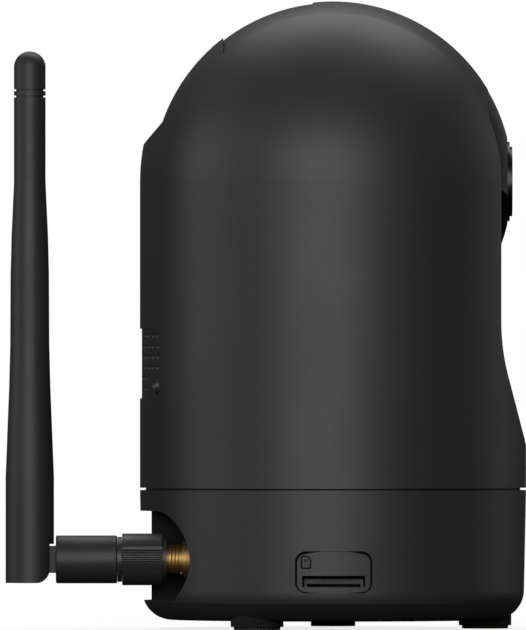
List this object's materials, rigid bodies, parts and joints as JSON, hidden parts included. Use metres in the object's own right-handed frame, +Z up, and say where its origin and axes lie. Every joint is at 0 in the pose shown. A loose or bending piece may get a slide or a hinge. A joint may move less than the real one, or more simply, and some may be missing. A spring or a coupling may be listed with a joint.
{
  "type": "pan and tilt security camera",
  "caption": "Pan-and-tilt network camera: round base with sockets and folding rod antenna, turning housing, and a tilting ball head with the lens.",
  "frame": {"origin": "on the pan axis at the mouth of the tripod thread under the base, half a millimetre above the surface that the feet stand on", "axes": "+X is where the lens looks at rest, +Z is up along the pan axis, +Y is to the camera's left; the antenna is on the -Y side at the back"},
  "size_m": [0.1098, 0.0816, 0.1324],
  "materials": {
    "black_plastic": "fine matte texture",
    "antenna_plastic": "soft satin",
    "gloss_face": "polished, lets infrared through",
    "inner_plastic": "moulded",
    "white_gear": "natural acetal",
    "screw_steel": "zinc plated",
    "socket_steel": "nickel plated",
    "brass": "gold plated brass",
    "nut_dark_metal": "blackened, fine knurl",
    "antenna_copper": "copper",
    "foot_rubber": "matt",
    "circuit_board": "solder mask",
    "cable_sleeve": "smooth",
    "speaker_black": "matt",
    "lens_metal": "dark anodised",
    "lens_glass": "coated",
    "lamp_lens": "dark clear"
  },
  "bodies": {
    "base": {"base_shell": "black_plastic", "base_deck": "black_plastic", "base_screws": "screw_steel", "rubber_feet": "foot_rubber", "tripod_insert": "brass", "base_board": "circuit_board", "ethernet_jack": "socket_steel", "ethernet_contacts": "brass", "power_jack": "inner_plastic", "power_pin": "brass", "card_socket": "inner_plastic", "antenna_jack": "brass", "antenna_insulator": "white_gear", "antenna_lead": "cable_sleeve", "pan_bearing": "white_gear", "pan_gear": "white_gear", "pan_gear_clip": "screw_steel", "pan_harness": "cable_sleeve"},
    "housing": {"housing_shell": "black_plastic", "front_fascia": "black_plastic", "speaker_grille": "black_plastic", "turntable": "black_plastic", "yoke_left": "inner_plastic", "yoke_right": "inner_plastic", "housing_screws": "screw_steel", "pan_motor": "socket_steel", "rear_board": "circuit_board", "speaker": "speaker_black", "reset_switch": "speaker_black", "housing_harness": "cable_sleeve", "pivot_left": "lens_metal", "pivot_right": "lens_metal", "tilt_gear": "white_gear"},
    "pan_pinion": {"pan_pinion": "white_gear"},
    "reset_button": {"reset_button": "black_plastic"},
    "head": {"head_front_shell": "black_plastic", "head_band": "black_plastic", "head_rear_shell": "black_plastic", "head_chassis": "inner_plastic", "pivot_bushes": "white_gear", "face_plate": "gloss_face", "lens_bezel": "lens_metal", "lens_barrel": "socket_steel", "lens_glass": "lens_glass", "lens_holder": "inner_plastic", "sensor_board": "circuit_board", "led_board": "circuit_board", "ir_leds": "lamp_lens", "tilt_motor": "socket_steel", "head_lead": "cable_sleeve", "head_screws": "screw_steel"},
    "tilt_pinion": {"tilt_pinion": "white_gear"},
    "antenna_plug": {"antenna_plug": "nut_dark_metal", "antenna_contact": "brass"},
    "antenna_nut": {"antenna_nut": "nut_dark_metal"},
    "antenna_barrel": {"antenna_barrel": "antenna_plastic", "elbow_pin": "screw_steel"},
    "antenna_mast": {"antenna_mast": "antenna_plastic", "antenna_cap": "antenna_plastic", "antenna_element": "antenna_copper"}
  },
  "joints": [
    {"name": "pan", "type": "hinge", "parent": "base", "child": "housing", "pos_m": [0, 0, 0.03], "axis": [0, 0, 1], "range_deg": [-177.5, 177.5]},
    {"name": "pan_pinion_spin", "type": "hinge", "parent": "housing", "child": "pan_pinion", "pos_m": [0.02102, 0.00774, 0.0345], "axis": [0, 0, 1], "range_deg": [-660, 660]},
    {"name": "reset_press", "type": "slide", "parent": "housing", "child": "reset_button", "axis": [1, 0, 0], "range_m": [0, 0.0005], "stiffness_N_per_m": 900, "springref_m": -0.0006},
    {"name": "tilt", "type": "hinge", "parent": "housing", "child": "head", "pos_m": [0, 0, 0.0944], "axis": [0, -1, 0], "range_deg": [-5, 90]},
    {"name": "tilt_pinion_spin", "type": "hinge", "parent": "head", "child": "tilt_pinion", "pos_m": [-0.0118, 0.0115, 0.08614], "axis": [0, -1, 0], "range_deg": [-12, 182]},
    {"name": "antenna_travel", "type": "slide", "parent": "base", "child": "antenna_plug", "axis": [-1, 0, 0], "range_m": [0, 0.0028]},
    {"name": "nut_turn", "type": "hinge", "parent": "antenna_plug", "child": "antenna_nut", "pos_m": [-0.04, -0.0169, 0.01475], "axis": [-1, 0, 0], "range_deg": [0, 1429]},
    {"name": "antenna_swivel", "type": "hinge", "parent": "antenna_plug", "child": "antenna_barrel", "pos_m": [-0.05, -0.0169, 0.01475], "axis": [-1, 0, 0], "range_deg": [-90, 90]},
    {"name": "antenna_fold", "type": "hinge", "parent": "antenna_barrel", "child": "antenna_mast", "pos_m": [-0.0639, -0.0169, 0.01475], "axis": [0, -1, 0], "range_deg": [0, 90]}
  ],
  "couplings": [
    {"joint": "pan_pinion_spin", "follows": "pan", "ratio": 3.6667},
    {"joint": "tilt_pinion_spin", "follows": "tilt", "ratio": 2},
    {"joint": "nut_turn", "follows": "antenna_travel", "rad_per_m": 8905.3}
  ]
}
